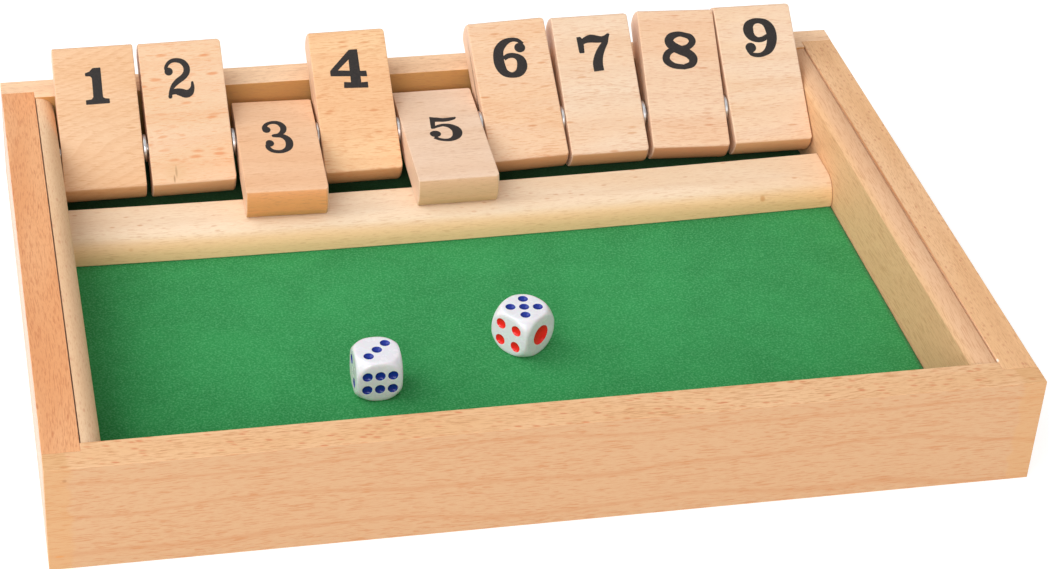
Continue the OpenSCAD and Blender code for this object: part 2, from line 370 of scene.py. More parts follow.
def easedCopy(node, edge, mat, body="box", turnEdges=30, corners=None):
    # copies a CAD piece, eases its edges with a small round and shows the copy in its place
    source = frame["nodes"][node]
    work = bmesh.new()
    work.from_mesh(source.data)
    # one vertex at each corner and one polygon for each flat face, so that the easing runs clean
    bmesh.ops.remove_doubles(work, verts=work.verts, dist=0.002 * mm)
    bmesh.ops.dissolve_limit(work, angle_limit=math.radians(0.5), verts=work.verts, edges=work.edges)
    widest = easeWeights(work, edge, turnEdges, corners)
    mesh = meshFrom(work, node + "Eased", True)
    mesh.materials.clear()
    mesh.materials.append(mat)
    piece = addObject(node + "_eased", mesh)
    easing = piece.modifiers.new("edges", "BEVEL")
    easing.width = widest * mm
    easing.segments = 4
    easing.limit_method = "WEIGHT"
    easing.use_clamp_overlap = corners is None
    shading = piece.modifiers.new("shading", "WEIGHTED_NORMAL")
    shading.weight = 80
    shading.keep_sharp = True
    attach(piece, body)
    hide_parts(node)
    return piece


def slimDown(piece, fixed, share):
    # makes a piece thinner towards the plane at the given x, in millimetres
    for v in piece.data.vertices:
        v.co.x = fixed * mm + (v.co.x - fixed * mm) * share


def bendAlong(piece, step, shift, slope, curve):
    # cuts a long piece into short lengths and bows it sideways: shift + slope * x + curve * x * x, in millimetres
    work = bmesh.new()
    work.from_mesh(piece.data)
    left, right = (pick(v.co.x for v in work.verts) / mm for pick in (min, max))
    for k in range(1, math.ceil((right - left) / step)):
        everything = work.verts[:] + work.edges[:] + work.faces[:]
        bmesh.ops.bisect_plane(work, geom=everything, plane_co=((left + k * step) * mm, 0, 0), plane_no=(1, 0, 0))
    for v in work.verts:
        x = v.co.x / mm
        v.co.y += (shift + slope * x + curve * x * x) * mm
    work.to_mesh(piece.data)
    work.free()


# Rails, liners and stop bar; sizes of dashes and flecks in millimetres, the first along the grain
railSet = {
    "front_rail": {
        "edge": 0.35, "slot": "rail_wood",
        "pale": (239, 195, 150), "warm": (233, 185, 137), "side": (207, 164, 123),
        "dash": (196, 130, 80), "fleck": (212, 124, 80), "endTone": (232, 190, 160),
        "dashSize": (4.6, 0.26, 0.26), "dashShare": 0.5, "dashDepth": 0.65,
        "fleckCell": (4.8, 1.5, 1.5), "fleckShare": 0.95, "fleckDepth": 0.8, "fleckTilt": 0.12,
        "ringWidth": 11, "ringWander": 1.3, "ringDepth": 0.34, "ringStart": 0.82, "from": (0.02, 0.11, 0.004),
        "stain": {"start": 134.8, "full": 136.6, "uneven": 1.2, "tone": (210, 156, 96), "depth": 0.35},
        "marks": [((-137, -103, 31), (0.9, 1, 0.7), (166, 108, 70), 0.7),
                  ((-139.4, -103, 4.6), (1.8, 1, 0.5), (214, 134, 62), 0.7)],
    },
    "back_rail": {
        "edge": 0.35, "slot": "rail_wood",
        # the side tone is painted shade for the inner face, which lies in the shadow of the tiles
        "pale": (254, 217, 179), "warm": (248, 206, 166), "side": (208, 154, 91),
        "dash": (190, 132, 88), "fleck": (186, 118, 78), "endTone": (176, 126, 84),
        "dashSize": (3.2, 0.26, 0.26), "dashShare": 0.5, "dashDepth": 0.4,
        "fleckCell": (8, 1.4, 1.4), "fleckShare": 0.2, "fleckDepth": 0.5,
        "ringWidth": 12, "ringWander": 0.8, "ringDepth": 0.12, "from": (0.31, 0.02, 0.03),
        "marks": [((0, 103, 17.5), (400, 1.2, 60), (238, 194, 152), 0.75)],  # outer face taken back to a plain wood tone, out of the side tone's painted shade
    },
    "left_rail": {
        "edge": 0.2, "slot": "left_rail_wood", "turn": (0, 0, 90),
        # the pale pinkish side tone is painted light on the outer face, which is lit from the left
        "pale": (238, 177, 127), "warm": (231, 163, 111), "side": (246, 206, 184),
        "dash": (190, 112, 68), "fleck": (184, 102, 60), "endTone": (176, 112, 70),
        "dashSize": (4.0, 0.28, 0.28), "dashShare": 0.6, "dashDepth": 0.45,
        "fleckCell": (6, 1.2, 1.2), "fleckShare": 0.3, "fleckDepth": 0.5,
        "ringWidth": 10, "ringWander": 0.6, "ringDepth": 0.12, "from": (0.1, 0.05, 0.02),
    },
    "right_rail": {
        "edge": 0.35, "slot": "rail_wood", "turn": (0, 0, 90),
        "pale": (244, 198, 152), "warm": (238, 188, 138), "side": (232, 188, 150),
        "dash": (190, 130, 88), "fleck": (204, 134, 100), "endTone": (176, 126, 84),
        "dashSize": (3.4, 0.24, 0.24), "dashShare": 0.45, "dashDepth": 0.4,
        "fleckCell": (2.8, 1.5, 1.5), "fleckShare": 0.8, "fleckDepth": 0.7,
        "ringWidth": 10, "ringWander": 0.8, "ringDepth": 0.12, "from": (0.21, 0.15, 0.08),
        "marks": [((131.9, 10, 35), (0.55, 110, 0.6), (170, 100, 50), 0.75),
                  ((131.8, 92, 35), (0.6, 2.6, 0.8), (128, 76, 40), 0.7),
                  # a painted highlight: a tiny near-white spot at the front end of the rail's inner top edge
                  ((131.9, -91, 35), (0.7, 1, 0.8), (255, 246, 232), 0.9)],
    },
    "left_liner": {
        "edge": 0.12, "slot": "liner_wood", "turn": (0, 0, 90),
        "pale": (240, 206, 168), "warm": (234, 194, 152), "side": (236, 200, 158),
        "dash": (206, 146, 106), "fleck": (208, 140, 108), "endTone": (186, 140, 98),
        "dashSize": (2.4, 0.24, 0.24), "dashShare": 0.4, "dashDepth": 0.4,
        "fleckCell": (4, 1.4, 1.4), "fleckShare": 0.6, "fleckDepth": 0.6,
        "ringWidth": 9, "ringWander": 0.5, "ringDepth": 0.1, "from": (0.4, 0.12, 0.06),
        "slim": (-131.6, 0.93),
    },
    "right_liner": {
        "edge": 0.3, "slot": "liner_wood", "turn": (0, 0, 90),
        # the side tone, lighter than the top, is painted light on the inner face
        "pale": (223, 180, 142), "warm": (218, 172, 132), "side": (233, 188, 142),
        "dash": (190, 132, 92), "fleck": (184, 120, 80), "endTone": (186, 140, 98),
        "dashSize": (5.0, 0.3, 0.3), "dashShare": 0.55, "dashDepth": 0.45,
        "fleckCell": (8, 1.3, 1.3), "fleckShare": 0.3, "fleckDepth": 0.5, "fleckFace": (0, 1, 0),
        "ringWidth": 9, "ringWander": 0.5, "ringDepth": 0.1, "from": (0.52, 0.2, 0.01),
    },
    "stop_bar": {
        "edge": 0.5, "slot": "bar_wood",
        "pale": (245, 220, 191), "warm": (241, 211, 178), "side": (247, 205, 154),
        "dash": (212, 160, 112), "fleck": (206, 142, 92), "endTone": (186, 140, 98),
        "dashSize": (4.0, 0.28, 0.28), "dashShare": 0.35, "dashDepth": 0.4,
        "fleckCell": (4, 1.6, 1.6), "fleckShare": 0.3, "fleckDepth": 0.6,
        "ringWidth": 8, "ringWander": 0.5, "ringDepth": 0.1, "from": (0.7, 0.01, 0.02),
        "bend": (10, -0.7, 0.0067, 0.000118),
        "marks": [((-106.8, 32, 13.5), (1.4, 2.5, 1), (216, 148, 88), 0.7),
                  ((101, 32, 14), (1.2, 2.5, 1.4), (216, 150, 92), 0.7)],
    },
    "floor_panel": {
        "edge": 0.2, "slot": "panel_wood", "rough": 0.6,
        "pale": (214, 178, 136), "warm": (200, 160, 118), "side": (200, 160, 118),
        "dash": (168, 122, 82), "fleck": (160, 112, 76), "endTone": (150, 108, 74),
        "dashSize": (5.0, 0.3, 0.3), "dashShare": 0.5, "dashDepth": 0.45,
        "fleckCell": (9, 1.6, 1.6), "fleckShare": 0.3, "fleckDepth": 0.4,
        "ringWidth": 14, "ringWander": 2.0, "ringDepth": 0.25, "from": (0.9, 0.3, 0.2),
    },
}

for node, s in railSet.items():
    piece = easedCopy(node, s["edge"], makeBeech(node + "Beech", s))
    if "bend" in s:
        bendAlong(piece, *s["bend"])
    if "slim" in s:
        slimDown(piece, *s["slim"])
print("stage: rails, liners and stop bar")


# Tiles: the grain runs across each tile, so their left and right sides show its cut ends.
# Lengths in millimetres from the rod, leans in degrees, the skew of the grain for tile 1 to 9
tileSet = {
    "thickness": 10.2, "longCrease": 34.6, "shortCrease": 14.7, "edge": 0.45,
    "openLean": 37.05, "shutLean": 184.25, "shut": (3, 5),
    "skew": (0.2, 0.5, 1.8, 0.4, 0, 2, 0.2, -2.2, -0.2),
    "rough": 0.42, "endTone": (238, 202, 174), "dashSize": (3.6, 0.3, 0.3), "dashDepth": 0.4,
    "fleckCell": (7, 1.5, 1.5), "fleckDepth": 0.7, "ringWidth": 9, "ringWander": 0.6, "ringDepth": 0.1,
}
# pale tone, warm tone, tone of the two ends (partly their own tone, partly painted light and shade), tone of the
# dashes, how many dashes and flecks there are
tileTones = {
    1: ((238, 198, 160), (234, 189, 147), (222, 168, 116), (206, 138, 84), 0.35, 0.05),
    2: ((238, 204, 170), (235, 197, 158), (222, 172, 122), (222, 132, 72), 0.30, 0.50),
    3: ((242, 198, 160), (238, 189, 148), (244, 165, 103), (204, 138, 92), 0.35, 0.05),
    4: ((243, 203, 157), (240, 192, 146), (220, 164, 110), (212, 126, 66), 0.50, 0.30),
    5: ((240, 210, 185), (236, 202, 173), (233, 184, 143), (202, 152, 112), 0.35, 0.05),
    6: ((242, 208, 175), (239, 196, 156), (216, 162, 112), (212, 136, 82), 0.45, 0.15),
    7: ((241, 215, 188), (239, 205, 173), (214, 164, 114), (212, 148, 100), 0.45, 0.15),
    8: ((241, 209, 178), (238, 199, 164), (206, 150, 104), (210, 142, 102), 0.50, 0.15),
    9: ((242, 214, 186), (239, 205, 170), (220, 172, 122), (212, 146, 100), 0.40, 0.10),
}
# rounding of the corners at the left and at the right side, in millimetres
tileCorners = {1: (0.3, 0.5), 2: (0.5, 1.0), 3: (0.4, 1.1), 4: (0.9, 1.0), 5: (0.5, 1.1), 6: (0.9, 1.0),
               7: (0.6, 1.0), 8: (0.7, 0.9), 9: (0.3, 1.0)}
# lines of the figure that differ from the plain ones: how far apart, how clear, how slanted
tileFigures = {
    1: {"ringWidth": 2.8, "ringWander": 2.0, "ringDepth": 0.16, "ringTilt": -0.4},
    2: {"fleckCell": (8, 2.2, 2.2),
        "marks": [((-89.1, 59.4, 23.2), (0.5, 3, 2.4), (150, 100, 64), 0.7),
                  ((-89.1, 59.4, 23.2), (5, 4.4, 4.4), (226, 184, 140), 0.5),
                  ((-89.9, 57.4, 21.7), (0.4, 2, 1.6), (160, 110, 74), 0.6)]},
    # on the shut tiles 3 and 5: painted shade and a painted green cast from the felt, over the lower part of the end
    # that rests on the stop bar
    3: {"marks": [((-55, 34.5, 17.2), (40, 6, 4.6), (140, 134, 72), 0.6)]},
    5: {"marks": [((-0.5, 34.5, 17.2), (40, 6, 4.6), (150, 150, 96), 0.5)]},
}
hinges = {joint["child"]: Vector(joint["pos_m"]) for joint in frame["joints"] if joint["type"] == "hinge"}


def tileLean(number):
    return tileSet["shutLean"] if number in tileSet["shut"] else tileSet["openLean"]


def makeTile(number):
    name = "tile_%d" % number
    pale, warm, side, dash, dashes, flecks = tileTones[number]
    s = {
        **tileSet, "pale": pale, "warm": warm, "side": side, "dash": dash, "fleck": dash, "dashShare": dashes,
        "fleckShare": flecks, "turn": (-tileLean(number), 0, -tileSet["skew"][number - 1]),
        "from": (0.13 * number, 0.02 + 0.031 * number, 0.05 - 0.017 * number),  # each from another part of a board
        **tileFigures.get(number, {}),
    }
    lean = math.radians(tileLean(number))
    corners = (Vector((0, math.cos(lean), math.sin(lean))), *tileCorners[number])
    easedCopy(name, s["edge"], makeBeech(name + "Beech", s), name, 25, corners)


for number in tileTones:
    makeTile(number)
print("stage: tiles")


# Digits: heavy numerals with round ends, in millimetres about the middle of each digit, Y up.
# A stroke is a row of points with the pen's width at each, a plate is an outline, a dot has two radii.
digitShapes = {
    1: {"plates": [[(-0.7, 6.4), (1.85, 6.4), (1.8, -4.0), (2.4, -4.5), (3.85, -4.7), (3.85, -6.3), (-3.85, -6.4),
                    (-3.85, -4.8), (-1.95, -4.6), (-1.35, -3.9), (-1.25, 2.8), (-1.75, 3.5), (-3.35, 3.6),
                    (-3.35, 4.7), (-1.85, 5.2)]]},
    2: {"strokes": [[(-3.3, 2.5, 1.6), (-4.1, 3.7, 1.2), (-3.3, 5.3, 1.2), (-1.9, 6.2, 1.4), (-0.2, 6.3, 1.6),
                     (1.5, 5.6, 1.9), (2.6, 3.9, 2.1), (2.5, 1.9, 2.1), (1.3, 0.3, 2.0), (-0.8, -1.2, 1.9),
                     (-2.3, -2.7, 1.5), (-3.2, -4.5, 1.2), (-3.6, -6.4, 1.3)],
                    [(-3.2, -5.2, 1.2), (-1.6, -4.7, 2.1), (0.1, -5.1, 2.7), (1.6, -5.7, 2.8), (3.0, -5.2, 2.4),
                     (3.9, -3.7, 1.4), (4.05, -1.9, 0.8)]],
        "dots": [(-3.3, 2.5, 1.35, 1.4), (-3.6, -6.4, 0.65, 0.65), (4.05, -1.8, 0.4, 0.4)]},
    3: {"strokes": [[(-3.7, 4.6, 1.6), (-3.5, 6.0, 1.6), (-2.4, 7.6, 1.5), (-0.3, 8.2, 1.7), (1.5, 7.4, 2.0),
                     (2.5, 5.3, 2.1), (2.2, 3.1, 2.0), (0.9, 1.4, 1.7), (-0.7, 0.8, 1.7)],
                    [(-0.9, 0.8, 1.8), (1.6, 0.3, 2.1), (3.1, -1.7, 2.4), (3.3, -4.1, 2.5), (2.6, -6.4, 2.3),
                     (1.0, -7.8, 1.9), (-0.8, -8.1, 1.7), (-2.7, -7.3, 1.7), (-3.8, -5.6, 1.6), (-3.8, -3.8, 1.6)]],
        "dots": [(-3.1, 4.4, 1.35, 1.75), (-0.9, 0.8, 0.95, 0.9), (-3.0, -3.2, 1.35, 1.8)]},
    4: {"plates": [[(1.2, 7.0), (3.85, 7.0), (3.95, -0.3), (3.85, -4.4), (3.85, -6.8), (0.35, -6.6), (0.45, -2.5),
                    (0.55, 3.4), (0.6, 4.4)],
                   [(1.1, 7.05), (-6.05, -0.2), (-6.1, -2.1), (-3.5, -0.2), (0.5, 3.4), (1.9, 5.0)],
                   [(-6.05, -0.3), (-3.5, -0.15), (0.45, -0.5), (4.15, -0.8), (6.0, -0.85), (6.1, -2.9),
                    (4.25, -2.8), (3.85, -2.6), (0.4, -2.5), (-6.05, -2.1)],
                   [(-1.9, -4.4), (0.1, -4.6), (4.1, -4.9), (6.05, -4.8), (6.0, -6.95), (-2.1, -6.55)]]},
    5: {"plates": [[(-3.9, 7.0), (-2.4, 6.6), (-2.5, 4.1), (-2.8, 2.2), (-2.7, 1.2), (-3.1, 0.4), (-4.0, 0.2),
                    (-4.5, 0.6)]],
        "strokes": [[(-3.4, 5.4, 2.6), (-1.5, 5.2, 2.4), (0.3, 4.85, 2.1), (2.3, 5.0, 1.9), (3.9, 5.4, 1.4),
                     (4.4, 5.65, 0.9)],
                    [(-3.4, 0.9, 1.0), (-1.9, 1.6, 1.3), (-0.1, 1.95, 1.5), (2.0, 1.2, 2.3), (3.5, -0.6, 3.1),
                     (3.75, -2.6, 3.3), (3.0, -4.7, 2.8), (1.3, -6.1, 1.9), (-0.7, -6.35, 1.4), (-2.7, -5.7, 1.4),
                     (-4.2, -4.4, 1.5)]],
        "dots": [(-3.6, -2.6, 1.85, 1.75), (4.4, 5.65, 0.45, 0.45)]},
    6: {"strokes": [[(5.1, 4.7, 1.3), (3.5, 6.2, 1.4), (1.3, 6.5, 1.6), (-1.2, 5.5, 2.5), (-3.2, 3.2, 3.2),
                     (-3.8, 0.1, 3.6), (-3.5, -2.9, 3.5), (-2.3, -5.2, 2.7), (0.1, -6.2, 2.0), (2.6, -5.4, 2.9),
                     (3.85, -3.2, 3.5), (3.6, -0.8, 3.0), (1.9, 0.65, 1.9), (-0.2, 0.8, 1.8), (-2.0, -0.1, 1.6)]],
        "dots": [(3.95, 3.5, 1.85, 1.75)]},
    7: {"plates": [[(-5.7, 6.1), (-4.3, 6.2), (-3.8, 5.5), (-3.5, 3.2), (-3.65, 0.4), (-3.9, 0.2), (-5.3, 0.2),
                    (-5.5, 0.6)]],
        "strokes": [[(-4.3, 4.0, 1.6), (-2.6, 4.9, 2.3), (-0.8, 5.3, 2.9), (1.1, 5.0, 2.7), (3.0, 4.8, 2.2),
                     (4.4, 5.4, 1.8), (5.3, 6.4, 1.1)],
                    [(5.1, 6.2, 0.9), (4.1, 3.9, 1.8), (2.5, 1.6, 2.4), (1.2, -0.8, 2.9), (0.4, -3.4, 3.4),
                     (0.3, -5.2, 3.5), (0.4, -6.6, 3.5)]],
        "dots": [(5.3, 6.4, 0.55, 0.45)]},
    8: {"strokes": [[(3.1, 5.35, 1.9), (0.7, 6.0, 1.9), (-1.9, 5.35, 2.6), (-3.1, 3.65, 3.1), (-2.0, 1.65, 3.4),
                     (0.4, 0.05, 3.4), (2.9, -1.35, 3.3), (4.2, -3.25, 3.2), (3.4, -5.25, 2.4), (0.7, -6.1, 1.8)],
                    [(0.7, -6.1, 1.8), (-2.7, -5.35, 2.1), (-4.9, -3.45, 2.6), (-4.6, -1.25, 2.4), (-2.6, 0.25, 2.0),
                     (1.6, 0.75, 1.9), (3.7, 1.45, 2.1), (5.0, 3.05, 2.4), (4.4, 4.65, 2.3), (3.1, 5.35, 1.9)]],
        "dots": [(3.1, 5.35, 0.95, 0.95), (0.7, -6.1, 0.9, 0.9)]},
    9: {"strokes": [[(-5.0, -4.2, 1.3), (-3.85, -5.8, 1.5), (-1.85, -6.3, 1.6), (0.05, -6.0, 1.8), (2.15, -4.6, 2.7),
                     (3.55, -2.2, 3.3), (4.15, 0.6, 3.5), (3.85, 3.2, 3.5), (2.75, 5.2, 2.8), (0.75, 6.2, 2.0),
                     (-1.45, 6.1, 2.2), (-3.25, 4.8, 3.2), (-3.75, 2.7, 3.6), (-3.05, 0.6, 2.9), (-1.15, -0.65, 2.0),
                     (0.85, -0.5, 1.9), (2.85, 0.6, 1.6)]],
        "dots": [(-3.95, -3.4, 1.85, 1.8)]},
}
digitSet = {
    "ink": 0.03, "soaked": 0.01,  # the printed ink above and below the wood's face
    "tones": ((26, 20, 19), (50, 42, 39)),
    "steps": 8,  # points between two points of a stroke
    "cornerRound": 0.22,
    # middle of each digit: right of the tile's middle and below the crease above it
    "openPlace": {1: (0.10, 13.76), 2: (-1.33, 12.86), 3: (-0.20, 14.00), 4: (-1.04, 13.68), 5: (-0.20, 14.00),
                  6: (-1.56, 13.36), 7: (0.10, 13.57), 8: (0.66, 14.66), 9: (1.42, 11.91)},
    "shutPlace": {1: (-0.10, 22.00), 2: (0.10, 21.60), 3: (-0.26, 20.51), 4: (-0.40, 22.20), 5: (0.38, 22.24),
                  6: (0.00, 21.80), 7: (-0.50, 22.00), 8: (0.00, 22.30), 9: (0.20, 21.70)},
}


def smoothRow(points, steps):
    # a curve through all the points, with as many steps between two of them as asked
    rows = [Vector(p) for p in points]
    ends = [rows[0] * 2 - rows[1]] + rows + [rows[-1] * 2 - rows[-2]]
    out = []
    for i in range(1, len(ends) - 2):
        a, b, c, d = ends[i - 1:i + 3]
        for k in range(steps):
            t = k / steps
            out.append(0.5 * (2 * b + (c - a) * t + (2 * a - 5 * b + 4 * c - d) * t ** 2
                              + (3 * b - a - 3 * c + d) * t ** 3))
    out.append(rows[-1])
    return out


def roundedOutline(corners, radius):
    # cuts each corner of an outline back to a short curve
    out = []
    count = len(corners)
    for i in range(count):
        before, here, after = (Vector(corners[(i + k) % count]) for k in (-1, 0, 1))
        back = min(radius, (before - here).length * 0.4)
        on = min(radius, (after - here).length * 0.4)
        first = here + (before - here).normalized() * back
        last = here + (after - here).normalized() * on
        for t in (0, 0.33, 0.67, 1):
            out.append(first * (1 - t) ** 2 + here * 2 * t * (1 - t) + last * t ** 2)
    return out


def digitOutlines(shape):
    # every plate, dot and piece of stroke as a closed outline, counter-clockwise
    outlines = []
    for plate in shape.get("plates", ()):
        outlines.append(roundedOutline(plate, digitSet["cornerRound"]))
    for x, y, across, up in shape.get("dots", ()):
        outlines.append([Vector((x + across * math.cos(a), y + up * math.sin(a)))
                         for a in (math.tau * k / 40 for k in range(40))])
    for stroke in shape.get("strokes", ()):
        row = smoothRow(stroke, digitSet["steps"])
        sides = []
        for i, point in enumerate(row):
            ahead = (row[min(i + 1, len(row) - 1)] - row[max(i - 1, 0)]).xy.normalized()
            aside = Vector((-ahead.y, ahead.x)) * point.z / 2
            sides.append((point.xy + aside, point.xy - aside))
        for (a, b), (c, d) in zip(sides, sides[1:]):
            middle = (a + b + c + d) / 4  # in order round it, since a tight bend can cross the sides
            outlines.append(sorted((a, b, c, d), key=lambda p: math.atan2(p.y - middle.y, p.x - middle.x)))
    fixed = []
    for outline in outlines:
        area = sum(p.x * q.y - q.x * p.y for p, q in zip(outline, outline[1:] + outline[:1]))
        fixed.append(outline if area > 0 else outline[::-1])
    return fixed


def digitMesh(number):
    # all outlines of a digit joined into one thin plate of ink
    corners, loops = [], []
    for outline in digitOutlines(digitShapes[number]):
        loops.append(list(range(len(corners), len(corners) + len(outline))))
        corners += outline
    points, _, faces, _, _, sources = geometry.delaunay_2d_cdt(corners, [], loops, 1, 1e-4)
    work = bmesh.new()
    bottom = [work.verts.new((p.x * mm, p.y * mm, -digitSet["soaked"] * mm)) for p in points]
    for face, source in zip(faces, sources):
        if source:  # the hollows of 4, 6, 8 and 9 come from no outline
            work.faces.new([bottom[i] for i in face])
    bmesh.ops.dissolve_limit(work, angle_limit=0.01, verts=work.verts, edges=work.edges)
    bmesh.ops.triangulate(work, faces=work.faces)
    bmesh.ops.recalc_face_normals(work, faces=work.faces)
    if work.faces[0].normal.z < 0:
        bmesh.ops.reverse_faces(work, faces=work.faces)
    floor = list(work.faces)
    top = bmesh.ops.extrude_face_region(work, geom=floor)
    bmesh.ops.translate(work, vec=(0, 0, (digitSet["ink"] + digitSet["soaked"]) * mm),
                        verts=[v for v in top["geom"] if isinstance(v, bmesh.types.BMVert)])
    bmesh.ops.recalc_face_normals(work, faces=work.faces)
    loose = [v for v in work.verts if not v.link_faces]
    bmesh.ops.delete(work, geom=loose, context="VERTS")
    return meshFrom(work, "digit_%d" % number)


def makeInk(s):
    mat, tree, shader, where = newMaterial("printedInk")
    grain = cloudNode(tree, (-700, 100), where, 1800, 4.0, 0.6)
    thin = rangeNode(tree, (-500, 100), grain, 0.35, 0.75)
    dress(tree, shader, grain, [colour(*tone) for tone in s["tones"]], (0.5, 0.7), (0.3, 0.02), thin)
    return mat


inkMaterial = makeInk(digitSet)


def placeDigit(number, mesh, side):
    s = tileSet
    lean = math.radians(tileLean(number))
    long = Vector((0, math.cos(lean), math.sin(lean)))  # towards the tile's long end
    out = Vector((0, -math.sin(lean), math.cos(lean)))  # out of the face that is up when the tile is open
    right = Vector((1, 0, 0))
    across, down = digitSet[side + "Place"][number]
    if side == "open":
        up, normal, height = long, out, s["longCrease"] - down
    else:
        up, normal, height = -long, -out, s["shortCrease"] - down
    place = (hinges["tile_%d" % number] + right * across * mm
             + up * height * mm + normal * s["thickness"] / 2 * mm)
    turn = Matrix((right, up, normal)).transposed().to_4x4()
    piece = addObject("digit_%d_%s" % (number, side), mesh.copy())
    piece.data.transform(Matrix.Translation(place) @ turn)
    piece.data.materials.append(inkMaterial)
    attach(piece, "tile_%d" % number)


for number in digitShapes:
    mesh = digitMesh(number)
    for side in ("open", "shut"):
        placeDigit(number, mesh, side)
    bpy.data.meshes.remove(mesh)
print("stage: digits")


# Felt: one cut of thin green felt, glued to the floor
feltSet = {
    "cell": 1.5, "sink": 0.05,  # size of a mesh cell and depth of its gentle unevenness
    "dark": (25, 117, 56), "light": (43, 149, 78), "fibre": (97, 183, 122), "sheen": (170, 220, 180),
    "well": (38, 43), "paintedShade": (29, 27, 8), "paintedShadeDepth": 0.7,  # painted shade on the felt behind the bar, under the tiles, where little light reaches
}


def makeFeltMaterial(s):
    mat, tree, shader, where = newMaterial("greenFelt")
    dark, light, fluff, paintedShade = (colour(*s[key]) for key in ("dark", "light", "fibre", "paintedShade"))
    cloud = cloudNode(tree, (-1000, 250), where, 55, 4.0, 0.65)
    nap = cloudNode(tree, (-1000, 0), where, 1500, 3.0, 0.7)
    fibre = cloudNode(tree, (-1000, -250), where, 620, 2.0, distortion=2.5)
    base = mixColour(tree, (-700, 150), rangeNode(tree, (-850, 250), cloud, 0.3, 0.7, 0.35, 0.75), dark, light)
    base = mixColour(tree, (-500, 150), rangeNode(tree, (-850, 0), nap, 0.42, 0.68, 0.0, 0.5), base, fluff)
    base = mixColour(tree, (-300, 150), rangeNode(tree, (-850, -250), fibre, 0.66, 0.76, 0.0, 0.3), base, fluff)
    # painted shade: the felt darkens towards the back, behind the bar, from where the well starts to where it is full
    start, full = (y * mm for y in s["well"])
    back = splitNode(tree, (-1000, 480), where, "Y")
    back = rangeNode(tree, (-850, 480), back, start, full, 0.0, s["paintedShadeDepth"])
    hairs = mathNode(tree, (-500, -300), "ADD", nap, fibre)
    fill(shader, {
        "Base Color": mixColour(tree, (-140, 150), back, base, paintedShade),
        "Normal": bumpNode(tree, (-300, -300), hairs, 0.6, 0.12),
        "Roughness": 0.95, "Specular IOR Level": 0.15, "Sheen Weight": 0.25, "Sheen Roughness": 0.5,
        "Sheen Tint": colour(*s["sheen"])})
    return mat


def makeFelt(s):
    low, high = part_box("felt")
    size = high - low
    columns = round(size.x / (s["cell"] * mm))
    rows = round(size.y / (s["cell"] * mm))
    work = bmesh.new()
    grid = []
    for j in range(rows + 1):
        for i in range(columns + 1):
            x = low.x + size.x * i / columns
            y = low.y + size.y * j / rows
            wave = noise.noise(Vector((x, y, 0)) * 60) + 0.5 * noise.noise(Vector((x, y, 1)) * 300)  # broad and fine
            sunk = s["sink"] * mm * (0.5 + 0.3 * wave)
            grid.append(work.verts.new((x, y, high.z - sunk)))
    for j in range(rows):
        for i in range(columns):
            k = j * (columns + 1) + i
            work.faces.new([grid[k], grid[k + 1], grid[k + columns + 2], grid[k + columns + 1]])
    mesh = meshFrom(work, "feltSheet", True)
    piece = addObject("felt_sheet", mesh)
    thick = piece.modifiers.new("thickness", "SOLIDIFY")
    thick.thickness = size.z - s["sink"] * mm
    thick.offset = -1
    mesh.materials.append(makeFeltMaterial(s))
    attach(piece, "box")
    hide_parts("felt")


makeFelt(feltSet)
print("stage: felt")


# Dice: white plastic with round edges and painted hollows
dieSet = {
    "size": 14, "ball": 9.77, "pillar": 9.77,  # edge length, ball and crossing cylinders that round it
    "cells": 44, "soft": 42,  # mesh cells along an edge; a larger power gives crisper meeting lines
    "rim": 0.09, "rimAngle": 32,  # rounding of the hollows' rims and the least angle that makes a rim
    "pip": 1.54, "pipDepth": 0.8, "fourPip": 1.75, "onePip": 3.29, "oneDepth": 1.28,  # radius and depth of hollows
    "step": 2.94, "twoStep": 2.52, "column": 3.82, "row": 2.35,  # how far they stand from the middle of a face
}
diePlaces = {
    "die_a": {"place": (-41.4, -44.6), "turns": ((90, 0, 180), (0, 0, 0))},
    "die_b": {"place": (6.5, -29.2), "turns": ((0, 90, 0), (0, 0, -52))},
}


def diePips(s):
    # (turn that brings the face up, radius, depth, places on it, paint)
    step, two, column, row = (s[key] for key in ("step", "twoStep", "column", "row"))
    corners = [(x, y) for x in (-step, step) for y in (-step, step)]
    small = (s["pip"], s["pipDepth"])
    return [
        ((0, 0, 0), s["onePip"], s["oneDepth"], [(0, 0)], "red"),
        ((0, 90, 0), *small, [(-two, two), (two, -two)], "blue"),
        ((-90, 0, 0), *small, [(-step, -step), (0, 0), (step, step)], "blue"),
        ((90, 0, 0), s["fourPip"], s["pipDepth"], corners, "red"),
        ((0, -90, 0), *small, corners + [(0, 0)], "blue"),
        ((180, 0, 0), *small, [(x, y) for x in (-column, 0, column) for y in (-row, row)], "blue"),
    ]


def dieReach(way, s):
    # distance from the middle to the surface, softly the smallest of cube, ball and cylinders
    nearness = [max(abs(c) for c in way) / (s["size"] / 2), 1 / s["ball"]]
    nearness += [math.hypot(way[i], way[j]) / s["pillar"] for i, j in ((0, 1), (1, 2), (0, 2))]
    return sum(n ** s["soft"] for n in nearness) ** (-1 / s["soft"])


def roundedCube(s):
    # each face of a cube as a grid, the lines at even angles, every corner moved out or in to the die's surface
    lines = [math.tan(math.radians(90 * k / s["cells"] - 45)) for k in range(s["cells"] + 1)]
    work = bmesh.new()
    known = {}

    def corner(p):
        key = tuple(round(c, 6) for c in p)
        if key not in known:
            way = Vector(p).normalized()
            known[key] = work.verts.new(way * dieReach(way, s) * mm)
        return known[key]

    for axis in range(3):
        for sign in (-1, 1):
            for u0, u1 in zip(lines, lines[1:]):
                for v0, v1 in zip(lines, lines[1:]):
                    loop = []
                    for u, v in ((u0, v0), (u1, v0), (u1, v1), (u0, v1)):
                        p = [0, 0, 0]
                        p[axis], p[(axis + 1) % 3], p[(axis + 2) % 3] = sign, u, v
                        loop.append(corner(p))
                    work.faces.new(loop if sign > 0 else loop[::-1])
    return meshFrom(work, "die")


